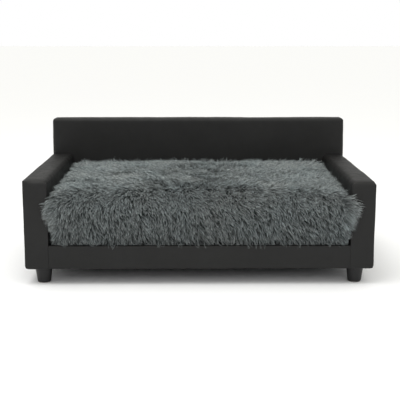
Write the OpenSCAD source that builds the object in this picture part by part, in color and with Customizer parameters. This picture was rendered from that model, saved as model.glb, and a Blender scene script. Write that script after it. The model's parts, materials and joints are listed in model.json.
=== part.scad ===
// Dog bed with an upholstered sofa frame and a lift-out faux-fur cushion.
// Millimetres. X runs across the bed, Y from front to back, Z up. The origin is on
// the floor under the middle of the bed.

/* [Overall size] */
// Width over the two arms
bed_w = 1100; // [900:10:1320]
// Depth from the arm fronts to the back of the backrest
bed_d = 700; // [580:10:840]
// Height of the arms above the feet
arm_h = 278; // [230:1:340]
// Height of the backrest above the arms
back_rise = 138; // [60:1:220]
// Height of a foot with its glide
foot_h = 52; // [42:1:80]

/* [Frame] */
// Thickness of an arm with its upholstery
arm_t = 75; // [60:1:110]
// Thickness of the backrest with its upholstery
back_t = 70; // [56:1:110]
// Height of the front rail
rail_h = 75; // [62:1:110]
// Thickness of the front rail with its upholstery
rail_t = 42; // [34:1:70]
// Thickness of the plywood boards in the arms and the backrest
board_t = 9; // [5:0.5:12]
// Height of the timber rails in the arms and the backrest
batten_h = 30; // [24:1:40]
// Width of the timber posts in the arms and the backrest
post_w = 40; // [30:1:60]

/* [Upholstery] */
// Thickness of the leather-look cover
cover_t = 1.5; // [1:0.1:2]
// Thickness of the wadding under the cover
wadding_t = 5; // [3:0.5:8]
// Rounding of the outer upholstered edges
edge_r = 13; // [9:0.5:18]
// Rounding of the arm's front edge beside the rail
seam_r = 4; // [3:0.5:6]
// How far a cover is turned in under the frame
turn_in = 13; // [8:1:15]

/* [Deck] */
// Thickness of the deck board
deck_t = 9; // [6:1:12]
// Thickness of the cloth on the deck board
deck_cloth_t = 1; // [0.5:0.5:2]
// Gap around the deck board
deck_gap = 2; // [1:0.5:4]
// Side of the square ledger strips
ledger_s = 25; // [18:1:30]
// Width of a crossbar under the deck
crossbar_w = 40; // [30:1:60]
// Number of crossbars
crossbar_n = 3; // [2:1:5]

/* [Screws] */
// Diameter of the ledger and deck screws
screw_d = 4; // [3:0.5:5]
// Length of the ledger screws
ledger_screw_l = 38; // [34:1:40]
// Length of the deck screws
deck_screw_l = 28; // [20:1:30]
// Diameter of the carcass screws
carcass_d = 6; // [5:0.5:7]
// Grip of a carcass screw in the far piece
carcass_grip = 22; // [15:1:28]

/* [Feet] */
// Diameter of a foot at the top
foot_top_d = 55; // [46:1:66]
// Diameter of a foot at the floor
foot_base_d = 43; // [36:1:52]
// Distance of the front feet's centres from the arm fronts
foot_inset = 45; // [40:1:80]
// Distance of the feet's centres from the outer sides of the arms
foot_side_inset = 52; // [40:1:80]
// Wall of a foot
foot_wall = 3; // [2:0.5:5]
// Diameter of the threaded stud
stud_d = 8; // [6:1:10]
// Thickness of a felt glide
glide_t = 2; // [1:0.5:4]
// Diameter of a tee nut's flange
tee_d = 18; // [16:1:22]
// Diameter of a tee nut's barrel
tee_barrel_d = 11; // [10:0.5:12]

/* [Underside] */
// Thickness of the dust cloth
dust_t = 1; // [0.5:0.5:1.5]
// Distance of the dust cloth's edge from the frame's outline
dust_inset = 8; // [6:1:12]
// Number of staples along a long edge of the dust cloth
staples_wide = 9; // [5:1:13]
// Number of staples along a short edge of the dust cloth
staples_deep = 5; // [3:1:8]

/* [Cushion] */
// Height of the cushion on the deck
cushion_h = 163; // [120:1:200]
// Gap between the cushion and the arms and backrest
cushion_gap = 3; // [2:0.5:10]
// How far the cushion's front stays behind the arm fronts
cushion_setback = 2; // [1:0.5:30]
// Rounding of the cushion's corners and of its top edge
cushion_r = 42; // [30:1:60]
// Thickness of the fur cover, pressed flat
fur_t = 12; // [11:0.5:20]
// Thickness of the liner round the foam
liner_t = 1; // [0.5:0.5:2]
// Thickness of the plain base cloth
base_cloth_t = 1.5; // [1:0.5:3]

/* [Zip] */
// Length of the closed zip
zip_l = 600; // [300:10:700]
// Distance from one tooth to the next
tooth_pitch = 5; // [4:0.5:8]
// Height of the plain zip band above the base cloth
band_h = 50; // [46:1:60]
// Length of the zip pull below its pivot
pull_l = 20; // [12:1:22]

/* [Hidden] */
$fn = 48;
// clearance of a screw, stud or pin in its hole, on the radius
hole_gap = 0.05;
// extra rounding that keeps one curved layer clear of the next
nest_r = 0.5;
// what a cutting shape stands out of the piece it cuts
cut = 1;
// gap between the cushion and the deck cloth
rest_gap = 0.3;

skin_t = cover_t + wadding_t;
side_x = bed_w / 2;
bay_x = side_x - arm_t;
front_y = -bed_d / 2;
back_y = bed_d / 2;
joint_y = back_y - back_t;
base_z = foot_h;
arm_top = base_z + arm_h;
back_top = arm_top + back_rise;
rail_top = base_z + rail_h;
rail_in_y = front_y + rail_t;
core_z = base_z + cover_t;
batten_top = core_z + batten_h;

// rounding of the timber that keeps its lower edges clear of the cover's rounding
timber_r = edge_r - skin_t + nest_r;
rail_timber_r = seam_r + nest_r;

// timber cores, as [low corner, high corner]
back_core = [
    [-side_x + skin_t, joint_y + skin_t, core_z],
    [side_x - skin_t, back_y - skin_t, back_top - skin_t],
];
arm_core = [
    [-side_x + skin_t, front_y + skin_t, core_z],
    [-bay_x - skin_t, joint_y, arm_top - skin_t],
];
rail_core = [
    [-bay_x, front_y + skin_t, core_z],
    [bay_x, rail_in_y - skin_t, rail_top - skin_t],
];

deck_z = rail_top - deck_cloth_t - deck_t;
ledger_z = deck_z - ledger_s;
ledger_mid_z = deck_z - ledger_s / 2;

// feet: [x, y] of each centre, front left, front right, rear left, rear right
foot_x = max(side_x - foot_side_inset, bay_x + skin_t + tee_d / 2 + nest_r);
foot_places = [
    [-foot_x, front_y + foot_inset],
    [foot_x, front_y + foot_inset],
    [-foot_x, joint_y + back_t / 2],
    [foot_x, joint_y + back_t / 2],
];
foot_deck_t = 2 * foot_wall;
tee_flange_t = 1.5;
tee_barrel_l = 9;
stud_r = stud_d / 2 - hole_gap;
foot_edge_r = 2;

// screws: where they stand, some as shares of the length that they hold
screw_rail_gap = 30;
ledger_side_shares = [0.15, 0.5, 0.85];
ledger_cross_shares = [-0.3, 0, 0.3];
deck_shares = [-0.4, -0.2, 0.2, 0.4];
arm_mid_x = side_x - arm_t / 2;
carcass_r = carcass_d / 2;
screw_r = screw_d / 2;
back_post_rear_y = back_core[1][1] - board_t;
arm_screw_z = [batten_top + screw_rail_gap, arm_top - skin_t - batten_h - screw_rail_gap];
rail_screw_z = (batten_top + rail_core[1][2]) / 2;
rail_mid_y = front_y + rail_t / 2;
arm_post_out_x = side_x - skin_t - board_t;
ledger_side_ys = [for (k = ledger_side_shares) rail_in_y + k * (joint_y - rail_in_y)];
ledger_cross_xs = [for (k = ledger_cross_shares) k * 2 * bay_x];
deck_screw_ys = [rail_in_y + ledger_s / 2 + deck_gap, joint_y - ledger_s / 2 - deck_gap];
deck_screw_xs = [for (k = deck_shares) k * 2 * bay_x];

// underside
dust_lo = [-side_x + dust_inset, front_y + dust_inset, base_z - dust_t];
dust_hi = [side_x - dust_inset, back_y - dust_inset, base_z];
staple_crown = 10;
staple_leg = 10;
staple_wire = 1;
staple_edge = 6;

// cushion, with its band for the zip
band_end_gap = 10;
cushion_z = rail_top + rest_gap;
cushion_x = bay_x - cushion_gap;
cushion_y0 = front_y + cushion_setback;
cushion_y1 = joint_y - cushion_gap;
cushion_top = cushion_z + cushion_h;
fur_z = cushion_z + base_cloth_t;
band_x = cushion_x - cushion_r - band_end_gap;
band_t = 3;
band_y = cushion_y1 - fur_t;
band_top = fur_z + band_h;
mouth_h = 4;

// zip, measured outwards from the face that the band lies on
zip_z = fur_z + band_h / 2;
zip_end_x = zip_l / 2;
tape_t = 0.8;
tape_w = 12;
tape_gap = 3.2;
tape_tail = 3;
tooth_t = 2.4;
tooth_tip = 0.45;
tooth_root = 2;
tooth_share = 0.55;
tooth_y = band_y + band_t + tape_t / 2 - tooth_t / 2;
window_h = 16;
stop_l = 4;
slider_l = 9;
slider_h = 12;
slider_plate_t = 1.2;
slider_gap = 0.4;
slider_stop_gap = 1;
web_l = 3;
web_t = 0.5;
slider_x = zip_end_x - slider_l / 2 - slider_stop_gap;
plate_in_y = tooth_y - slider_gap - slider_plate_t;
plate_out_y = tooth_y + tooth_t + slider_gap;
pull_t = 1.2;
pull_gap = 0.2;
pull_y = plate_out_y + slider_plate_t + pull_gap;
pivot_r = 1.2;
pivot_head_r = 2;
pivot_head_t = 0.8;
pull_w = 6;

leather = [0.16, 0.16, 0.155];
timber = [0.84, 0.71, 0.5];
plywood = [0.78, 0.62, 0.42];
white_soft = [0.9, 0.9, 0.88];
steel = [0.65, 0.66, 0.68];
black_plastic = [0.08, 0.08, 0.08];
fur_grey = [0.43, 0.46, 0.45];
cloth_black = [0.12, 0.12, 0.125];
foam_yellow = [0.93, 0.9, 0.78];
zip_black = [0.2, 0.2, 0.2];

// ---- shapes used by several parts ----

// A box from its low corner to its high corner
module block(lo, hi) {
    translate(lo)
        cube(hi - lo);
}

// A rectangle from lo to hi whose corners are rounded by r = [low left, low right, high right, high left]
module rounded_rect(lo, hi, r) {
    difference() {
        translate(lo)
            square(hi - lo);
        corner_cut(lo[0], lo[1], 1, 1, r[0]);
        corner_cut(hi[0], lo[1], -1, 1, r[1]);
        corner_cut(hi[0], hi[1], -1, -1, r[2]);
        corner_cut(lo[0], hi[1], 1, -1, r[3]);
    }
}

// What rounding takes off one corner of a rectangle; dx and dy point into the rectangle
module corner_cut(x, y, dx, dy, r) {
    if (r > 0)
        difference() {
            translate([x + (dx > 0 ? -cut : -r), y + (dy > 0 ? -cut : -r)])
                square(r + cut);
            translate([x + dx * r, y + dy * r])
                circle(r);
        }
}

// A box rounded by the corners of its plan, its front view and its side view
module soft_block(lo, hi, plan, front, side) {
    intersection() {
        translate([0, 0, lo[2]])
            linear_extrude(hi[2] - lo[2])
                rounded_rect([lo[0], lo[1]], [hi[0], hi[1]], plan);
        translate([0, hi[1], 0])
            rotate([90, 0, 0])
                linear_extrude(hi[1] - lo[1])
                    rounded_rect([lo[0], lo[2]], [hi[0], hi[2]], front);
        translate([lo[0], 0, 0])
            rotate([90, 0, 90])
                linear_extrude(hi[0] - lo[0])
                    rounded_rect([lo[1], lo[2]], [hi[1], hi[2]], side);
    }
}

// A countersunk screw along +Z, its head's face at z = 0 and its tip at z = l, gap larger all round
module screw(l, r, gap = 0) {
    cylinder(h = l + gap, r = r + gap);
    cylinder(h = r, r1 = 2 * r + gap, r2 = r + gap);
}

// A screw along -Y or +Y from a point, dir = -1 or 1
module screw_y(x, y, z, dir, l, r, gap = 0) {
    translate([x, y, z])
        rotate([-90 * dir, 0, 0])
            screw(l, r, gap);
}

// A screw along -X or +X from a point, dir = -1 or 1
module screw_x(x, y, z, dir, l, r, gap = 0) {
    translate([x, y, z])
        rotate([0, 90 * dir, 0])
            screw(l, r, gap);
}

// The left piece, or the same piece mirrored for the right
module on_side(side) {
    mirror([side > 0 ? 1 : 0, 0, 0])
        children();
}

// ---- screws, each drawn true, or as holes when gap is over 0 ----

module carcass_screw_set(gap = 0) {
    for (side = [-1, 1]) {
        for (z = arm_screw_z)
            screw_y(side * arm_mid_x, back_post_rear_y, z, -1,
                back_post_rear_y - joint_y + carcass_grip, carcass_r - hole_gap, gap);
        screw_x(side * arm_post_out_x, rail_mid_y, rail_screw_z, -side,
            arm_post_out_x - bay_x + carcass_grip, carcass_r - hole_gap, gap);
    }
}

module ledger_screw_set(gap = 0) {
    for (side = [-1, 1], y = ledger_side_ys)
        screw_x(side * (bay_x - ledger_s), y, ledger_mid_z, side, ledger_screw_l, screw_r - hole_gap, gap);
    for (x = ledger_cross_xs) {
        screw_y(x, rail_in_y + ledger_s, ledger_mid_z, -1, ledger_screw_l, screw_r - hole_gap, gap);
        screw_y(x, joint_y - ledger_s, ledger_mid_z, 1, ledger_screw_l, screw_r - hole_gap, gap);
    }
}

module deck_screw_set(gap = 0) {
    for (x = deck_screw_xs, y = deck_screw_ys)
        translate([x, y, deck_z + deck_t])
            rotate([180, 0, 0])
                screw(deck_screw_l, screw_r - hole_gap, gap);
}

module stud_holes() {
    for (p = foot_places)
        translate([p[0], p[1], base_z - cut])
            cylinder(h = batten_top - base_z + 2 * cut, r = stud_r + hole_gap);
}

// A tee nut's flange and barrel, gap larger all round
module tee_nut_blank(p, gap = 0) {
    translate([p[0], p[1], batten_top - tee_flange_t])
        cylinder(h = tee_flange_t + (gap > 0 ? cut : 0), r = tee_d / 2 + gap);
    translate([p[0], p[1], batten_top - tee_barrel_l])
        cylinder(h = tee_barrel_l, r = tee_barrel_d / 2 + gap);
}

module tee_nut_holes() {
    for (p = foot_places)
        tee_nut_blank(p, hole_gap);
}

// ---- backrest ----

module back_body(inset, r) {
    soft_block(
        [-side_x + inset, joint_y + inset, base_z + min(inset, cover_t)],
        [side_x - inset, back_y - inset, back_top - inset],
        [r, r, r, r], [r, r, r, r], [r, r, r, r]);
}

module back_cover() {
    color(leather)
        difference() {
            back_body(0, edge_r);
            back_body(cover_t, edge_r - cover_t);
            block([-side_x + turn_in, joint_y + turn_in, base_z - cut],
                [side_x - turn_in, back_y - turn_in, core_z + cut]);
            stud_holes();
            carcass_screw_set(hole_gap);
            ledger_screw_set(hole_gap);
        }
}

module back_wadding() {
    color(white_soft)
        difference() {
            back_body(cover_t, edge_r - cover_t + nest_r);
            block(back_core[0] - [0, 0, edge_r], back_core[1]);
            carcass_screw_set(hole_gap);
            ledger_screw_set(hole_gap);
        }
}

// A board of the backrest whose front face is at y
module back_board(y) {
    difference() {
        block([back_core[0][0], y, batten_top], [back_core[1][0], y + board_t, back_core[1][2]]);
        carcass_screw_set(hole_gap);
        ledger_screw_set(hole_gap);
    }
}

module back_front_board() {
    color(plywood)
        back_board(back_core[0][1]);
}

module back_rear_board() {
    color(plywood)
        back_board(back_post_rear_y);
}

module back_top_rail() {
    color(timber)
        block([back_core[0][0], back_core[0][1] + board_t, back_core[1][2] - batten_h],
            [back_core[1][0], back_post_rear_y, back_core[1][2]]);
}

module back_bottom_rail() {
    color(timber)
        difference() {
            soft_block(back_core[0], [back_core[1][0], back_core[1][1], batten_top],
                [0, 0, 0, 0], [timber_r, timber_r, 0, 0], [timber_r, timber_r, 0, 0]);
            stud_holes();
            tee_nut_holes();
        }
}

// One post at each end and two between them
module back_posts() {
    inner_x = back_core[1][0] - post_w;
    color(timber)
        difference() {
            for (k = [-1, -1 / 3, 1 / 3, 1])
                translate([k * inner_x + (abs(k) < 1 ? 0 : k * post_w / 2), 0, 0])
                    block([-post_w / 2, back_core[0][1] + board_t, batten_top],
                        [post_w / 2, back_post_rear_y, back_core[1][2] - batten_h]);
            carcass_screw_set(hole_gap);
        }
}

// ---- arms, drawn as the left one ----

// An arm's outline, inset on every side but towards the backrest; rear lengthens it that way
module arm_body(inset, r, inner_r, rear) {
    soft_block(
        [-side_x + inset, front_y + inset, base_z + min(inset, cover_t)],
        [-bay_x - inset, joint_y + rear, arm_top - inset],
        [r, inner_r, 0, 0], [r, r, r, r], [r, 0, 0, r]);
}

module arm_cover(side) {
    color(leather)
        difference() {
            on_side(side)
                difference() {
                    arm_body(0, edge_r, seam_r, 0);
                    arm_body(cover_t, edge_r - cover_t, seam_r - cover_t, cut);
                    block([-side_x + turn_in, front_y + turn_in, base_z - cut],
                        [-bay_x - turn_in, joint_y + cut, core_z + cut]);
                }
            stud_holes();
            carcass_screw_set(hole_gap);
            ledger_screw_set(hole_gap);
        }
}

module arm_wadding(side) {
    color(white_soft)
        difference() {
            on_side(side)
                difference() {
                    arm_body(cover_t, edge_r - cover_t + nest_r, seam_r - cover_t + nest_r, 0);
                    block(arm_core[0] - [0, 0, edge_r], arm_core[1] + [0, cut, 0]);
                }
            carcass_screw_set(hole_gap);
            ledger_screw_set(hole_gap);
        }
}

module arm_outer_board(side) {
    color(plywood)
        on_side(side)
            block([arm_core[0][0], arm_core[0][1], batten_top],
                [arm_core[0][0] + board_t, arm_core[1][1], arm_core[1][2]]);
}

module arm_inner_board(side) {
    color(plywood)
        difference() {
            on_side(side)
                block([arm_core[1][0] - board_t, arm_core[0][1], batten_top], arm_core[1]);
            carcass_screw_set(hole_gap);
            ledger_screw_set(hole_gap);
        }
}

module arm_top_rail(side) {
    color(timber)
        on_side(side)
            block([arm_core[0][0] + board_t, arm_core[0][1], arm_core[1][2] - batten_h],
                [arm_core[1][0] - board_t, arm_core[1][1], arm_core[1][2]]);
}

module arm_bottom_rail(side) {
    color(timber)
        difference() {
            on_side(side)
                soft_block(arm_core[0], [arm_core[1][0], arm_core[1][1], batten_top],
                    [0, 0, 0, 0], [timber_r, timber_r, 0, 0], [timber_r, 0, 0, 0]);
            stud_holes();
            tee_nut_holes();
        }
}

module arm_posts(side) {
    first_y = arm_core[0][1];
    last_y = arm_core[1][1] - post_w;
    color(timber)
        difference() {
            on_side(side)
                for (y = [first_y, (first_y + last_y) / 2, last_y])
                    block([arm_core[0][0] + board_t, y, batten_top],
                        [arm_core[1][0] - board_t, y + post_w, arm_core[1][2] - batten_h]);
            carcass_screw_set(hole_gap);
        }
}

// ---- front rail ----

module rail_body(inset, r) {
    soft_block(
        [-bay_x, front_y + inset, base_z + inset],
        [bay_x, rail_in_y - inset, rail_top - inset],
        [0, 0, 0, 0], [0, 0, 0, 0], [r, r, r, r]);
}

module front_rail_cover() {
    color(leather)
        difference() {
            rail_body(0, seam_r + cover_t);
            rail_body(cover_t, seam_r);
            block([-bay_x - cut, front_y + turn_in, base_z - cut],
                [bay_x + cut, rail_in_y - turn_in, core_z + cut]);
            ledger_screw_set(hole_gap);
        }
}

module front_rail_wadding() {
    color(white_soft)
        difference() {
            rail_body(cover_t, seam_r + nest_r);
            block(rail_core[0] - [cut, 0, edge_r], rail_core[1] + [cut, 0, 0]);
            ledger_screw_set(hole_gap);
        }
}

module front_rail_board() {
    color(timber)
        difference() {
            soft_block(rail_core[0], rail_core[1],
                [0, 0, 0, 0], [0, 0, 0, 0], [rail_timber_r, rail_timber_r, 0, 0]);
            ledger_screw_set(hole_gap);
            carcass_screw_set(hole_gap);
        }
}

// ---- deck ----

module deck_ledger_side(side) {
    color(timber)
        difference() {
            on_side(side)
                block([-bay_x, rail_in_y, ledger_z], [-bay_x + ledger_s, joint_y, deck_z]);
            ledger_screw_set(hole_gap);
        }
}

// A cross ledger whose front face is at y
module deck_ledger_cross(y) {
    color(timber)
        difference() {
            block([-bay_x + ledger_s, y, ledger_z], [bay_x - ledger_s, y + ledger_s, deck_z]);
            ledger_screw_set(hole_gap);
            deck_screw_set(hole_gap);
        }
}

module deck_crossbars() {
    color(timber)
        for (k = [1:crossbar_n])
            translate([-bay_x + k * 2 * bay_x / (crossbar_n + 1), 0, 0])
                block([-crossbar_w / 2, rail_in_y + ledger_s, ledger_z],
                    [crossbar_w / 2, joint_y - ledger_s, deck_z]);
}

// The plan of the deck board and its cloth from z0 to z1
module deck_sheet(z0, z1) {
    block([-bay_x + deck_gap, rail_in_y + deck_gap, z0], [bay_x - deck_gap, joint_y - deck_gap, z1]);
}

module deck_board() {
    color(plywood)
        difference() {
            deck_sheet(deck_z, deck_z + deck_t);
            deck_screw_set(hole_gap);
        }
}

module deck_cloth() {
    color(cloth_black)
        deck_sheet(deck_z + deck_t, rail_top);
}

// ---- screws ----

module ledger_screws() {
    color(steel)
        ledger_screw_set();
}

module deck_screws() {
    color(steel)
        deck_screw_set();
}

module carcass_screws() {
    color(steel)
        carcass_screw_set();
}

// ---- feet ----

// A hollow tapered foot, open below, with a boss for its stud
module foot(p) {
    top_r = foot_top_d / 2;
    base_r = foot_base_d / 2;
    boss_r = stud_d;
    height = base_z - glide_t;
    color(black_plastic)
        translate([p[0], p[1], glide_t])
            difference() {
                rotate_extrude()
                    polygon([
                        [0, foot_wall],
                        [boss_r, foot_wall],
                        [boss_r, height - foot_deck_t],
                        [top_r - foot_wall, height - foot_deck_t],
                        [base_r - foot_wall, 0],
                        [base_r - foot_edge_r, 0],
                        [base_r, foot_edge_r],
                        [top_r, height - foot_edge_r],
                        [top_r - foot_edge_r, height],
                        [0, height],
                    ]);
                translate([0, 0, height / 2])
                    cylinder(h = height, r = stud_r + hole_gap);
            }
}

// Each stud runs from the middle of a foot's boss nearly to the top of its tee nut
module foot_studs() {
    low_z = glide_t + (base_z - glide_t) / 2;
    color(steel)
        for (p = foot_places)
            translate([p[0], p[1], low_z])
                cylinder(h = batten_top - cut - low_z, r = stud_r);
}

module foot_tee_nuts() {
    color(steel)
        difference() {
            for (p = foot_places)
                tee_nut_blank(p);
            stud_holes();
        }
}

module foot_glides() {
    color(white_soft)
        for (p = foot_places)
            translate([p[0], p[1], 0])
                cylinder(h = glide_t, r = foot_base_d / 2 - foot_edge_r);
}

// ---- underside ----

module dust_cloth() {
    color(cloth_black)
        difference() {
            block(dust_lo, dust_hi);
            for (p = foot_places)
                translate([p[0], p[1], base_z - dust_t - cut])
                    cylinder(h = dust_t + 2 * cut, r = foot_top_d / 2 + cut);
        }
}

// A staple with its crown along X and its legs up
module staple() {
    translate([-staple_crown / 2, -staple_wire / 2, -staple_wire])
        cube([staple_crown, staple_wire, staple_wire]);
    for (x = [-staple_crown / 2, staple_crown / 2 - staple_wire])
        translate([x, -staple_wire / 2, -staple_wire])
            cube([staple_wire, staple_wire, staple_leg]);
}

module dust_cloth_staples() {
    step_x = (dust_hi[0] - dust_lo[0]) / (staples_wide + 1);
    step_y = (dust_hi[1] - dust_lo[1]) / (staples_deep + 1);
    color(steel) {
        for (k = [1:staples_wide], y = [dust_lo[1] + staple_edge, dust_hi[1] - staple_edge])
            translate([dust_lo[0] + k * step_x, y, dust_lo[2]])
                staple();
        for (k = [1:staples_deep], x = [dust_lo[0] + staple_edge, dust_hi[0] - staple_edge])
            translate([x, dust_lo[1] + k * step_y, dust_lo[2]])
                rotate([0, 0, 90])
                    staple();
    }
}

// ---- cushion ----

// The cushion's outline, inset all round but at its flat base
module cushion_body(inset, grow = 0) {
    r = cushion_r - inset + grow;
    soft_block(
        [-cushion_x + inset, cushion_y0 + inset, fur_z],
        [cushion_x - inset, cushion_y1 - inset, cushion_top - inset],
        [r, r, r, r], [0, 0, r, r], [0, 0, r, r]);
}

module fur_cover() {
    color(fur_grey)
        difference() {
            cushion_body(0);
            cushion_body(fur_t);
            block([-band_x, band_y, fur_z - cut], [band_x, cushion_y1 + cut, band_top]);
        }
}

// The room inside the liner
module liner_room(grow) {
    intersection() {
        cushion_body(fur_t + liner_t, grow);
        block([-cushion_x, cushion_y0, fur_z + liner_t], [cushion_x, cushion_y1, cushion_top]);
    }
}

// A bag round the foam, with a mouth behind the zip for putting the foam in
module foam_liner() {
    color(white_soft)
        difference() {
            cushion_body(fur_t, nest_r);
            liner_room(nest_r);
            block([-zip_end_x, band_y - liner_t - cut, zip_z - mouth_h / 2],
                [zip_end_x, band_y + cut, zip_z + mouth_h / 2]);
        }
}

module cushion_foam() {
    color(foam_yellow)
        liner_room(2 * nest_r);
}

// The base panel, and the plain band for the zip up the back of the foam
module cushion_base_cloth() {
    color(cloth_black) {
        translate([0, 0, cushion_z])
            linear_extrude(base_cloth_t)
                rounded_rect([-cushion_x, cushion_y0], [cushion_x, cushion_y1],
                    [cushion_r, cushion_r, cushion_r, cushion_r]);
        difference() {
            block([-band_x, band_y, fur_z], [band_x, band_y + band_t, band_top]);
            block([-zip_end_x - window_h, band_y - cut, zip_z - window_h / 2],
                [zip_end_x + window_h, band_y + band_t + cut, zip_z + window_h / 2]);
        }
    }
}

// ---- zip ----

// What lies above the zip's middle line, and the same below it
module both_sides_of_zip() {
    translate([0, 0, zip_z])
        for (m = [0, 1])
            mirror([0, 0, m])
                children();
}

module zip_tapes() {
    end_x = zip_end_x + window_h + tape_tail;
    color(cloth_black)
        both_sides_of_zip()
            block([-end_x, band_y + band_t, tape_gap],
                [end_x, band_y + band_t + tape_t, tape_gap + tape_w]);
}

// One row of teeth is a comb: a rib with a tooth on every pitch
module zip_teeth() {
    tooth_w = tooth_pitch * tooth_share;
    n = floor(zip_l / tooth_pitch);
    first_x = -zip_end_x + (zip_l - n * tooth_pitch) / 2;
    comb = [
        for (k = [0:n - 1])
            let (x = first_x + k * tooth_pitch)
                each [[x, tooth_root], [x, tooth_tip], [x + tooth_w, tooth_tip], [x + tooth_w, tooth_root]],
        [first_x + n * tooth_pitch, tooth_root],
        [first_x + n * tooth_pitch, tape_gap],
        [first_x, tape_gap],
    ];
    color(zip_black)
        both_sides_of_zip()
            translate([0, tooth_y + tooth_t, 0])
                rotate([90, 0, 0])
                    linear_extrude(tooth_t)
                        polygon(comb);
}

module zip_end_stops() {
    color(steel)
        for (side = [-1, 1])
            translate([side * (zip_end_x + stop_l / 2), 0, zip_z])
                block([-stop_l / 2, tooth_y, -tape_gap], [stop_l / 2, tooth_y + tooth_t, tape_gap]);
}

// Two plates joined by a thin web that runs between the rows of teeth, and the pull's pivot
module zip_slider() {
    half_l = slider_l / 2;
    half_h = slider_h / 2;
    head_y = pull_y + pull_t + pull_gap;
    color(steel)
        translate([slider_x, 0, zip_z]) {
            for (y = [plate_in_y, plate_out_y])
                block([-half_l, y, -half_h], [half_l, y + slider_plate_t, half_h]);
            block([-web_l / 2, plate_in_y, -web_t / 2],
                [web_l / 2, plate_out_y + slider_plate_t, web_t / 2]);
            translate([0, plate_out_y, 0])
                rotate([-90, 0, 0])
                    cylinder(h = head_y + pivot_head_t - plate_out_y, r = pivot_r - hole_gap);
            translate([0, head_y, 0])
                rotate([-90, 0, 0])
                    cylinder(h = pivot_head_t, r = pivot_head_r);
        }
}

// A flat tab that hangs on the slider's pivot
module zip_pull() {
    eye_r = pull_w / 2;
    color(steel)
        translate([slider_x, pull_y + pull_t, zip_z])
            rotate([90, 0, 0])
                linear_extrude(pull_t)
                    difference() {
                        union() {
                            circle(eye_r);
                            translate([-eye_r, -pull_l])
                                square([pull_w, pull_l]);
                            translate([0, -pull_l])
                                circle(eye_r);
                        }
                        circle(pivot_r);
                    }
}

back_cover();
back_wadding();
back_front_board();
back_rear_board();
back_top_rail();
back_bottom_rail();
back_posts();
arm_cover(-1);  // arm_cover_left
arm_wadding(-1);  // arm_wadding_left
arm_outer_board(-1);  // arm_outer_board_left
arm_inner_board(-1);  // arm_inner_board_left
arm_top_rail(-1);  // arm_top_rail_left
arm_bottom_rail(-1);  // arm_bottom_rail_left
arm_posts(-1);  // arm_posts_left
arm_cover(1);  // arm_cover_right
arm_wadding(1);  // arm_wadding_right
arm_outer_board(1);  // arm_outer_board_right
arm_inner_board(1);  // arm_inner_board_right
arm_top_rail(1);  // arm_top_rail_right
arm_bottom_rail(1);  // arm_bottom_rail_right
arm_posts(1);  // arm_posts_right
front_rail_cover();
front_rail_wadding();
front_rail_board();
deck_ledger_side(-1);  // deck_ledger_left
deck_ledger_side(1);  // deck_ledger_right
deck_ledger_cross(rail_in_y);  // deck_ledger_front
deck_ledger_cross(joint_y - ledger_s);  // deck_ledger_back
deck_crossbars();
deck_board();
deck_cloth();
ledger_screws();
deck_screws();
carcass_screws();
foot(foot_places[0]);  // foot_front_left
foot(foot_places[1]);  // foot_front_right
foot(foot_places[2]);  // foot_rear_left
foot(foot_places[3]);  // foot_rear_right
foot_studs();
foot_tee_nuts();
foot_glides();
dust_cloth();
dust_cloth_staples();
cushion_foam();
foam_liner();
fur_cover();
cushion_base_cloth();
zip_tapes();
zip_teeth();
zip_end_stops();
zip_slider();
zip_pull();
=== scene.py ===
"""The looks of a dog bed: an upholstered black frame and a lift-out cushion in shaggy grey faux fur.

Everything is in metres in the CAD model's frame: X across the bed, Y from front to back, Z up.
"""
import json
import math

import bpy
import numpy as np
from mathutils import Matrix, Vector, kdtree


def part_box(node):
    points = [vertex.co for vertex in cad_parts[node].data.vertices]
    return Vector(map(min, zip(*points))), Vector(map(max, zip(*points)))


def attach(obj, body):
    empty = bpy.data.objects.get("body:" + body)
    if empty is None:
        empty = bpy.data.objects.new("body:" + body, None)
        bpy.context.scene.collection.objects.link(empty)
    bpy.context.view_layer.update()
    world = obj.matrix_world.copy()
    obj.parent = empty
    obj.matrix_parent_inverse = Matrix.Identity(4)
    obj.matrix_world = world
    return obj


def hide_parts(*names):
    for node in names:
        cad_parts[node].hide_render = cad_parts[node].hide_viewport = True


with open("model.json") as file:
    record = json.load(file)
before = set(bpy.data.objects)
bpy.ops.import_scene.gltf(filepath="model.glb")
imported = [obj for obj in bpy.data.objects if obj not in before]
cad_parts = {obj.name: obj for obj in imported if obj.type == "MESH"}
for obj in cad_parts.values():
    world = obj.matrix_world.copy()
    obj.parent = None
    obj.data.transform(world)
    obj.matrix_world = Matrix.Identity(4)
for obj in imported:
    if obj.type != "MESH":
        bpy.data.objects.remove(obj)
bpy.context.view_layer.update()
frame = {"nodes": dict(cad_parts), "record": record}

MM = 0.001
UP = np.array([0.0, 0.0, 1.0])
TURN = 6.28  # radians in about a full turn

# ---- sizes read from the frame ----

def box(node):
    """The low and the high corner of a CAD node's box."""
    return [np.array(v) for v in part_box(node)]


back_lo, back_hi = box("back_cover")
arm_lo, arm_hi = box("arm_cover_left")
rail_lo, rail_hi = box("front_rail_cover")
fur_lo, fur_hi = box("fur_cover")
base_lo, base_hi = box("cushion_base_cloth")
front_y = float(arm_lo[1])   # the arms' front faces
joint_y = float(back_lo[1])  # the backrest's front face
bay_x = float(-arm_hi[0])    # the arms' inner faces


# ---- small mesh and noise helpers ----

def add_object(name, data):
    """An object with the given data, in the scene."""
    ob = bpy.data.objects.new(name, data)
    bpy.context.scene.collection.objects.link(ob)
    return ob


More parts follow.
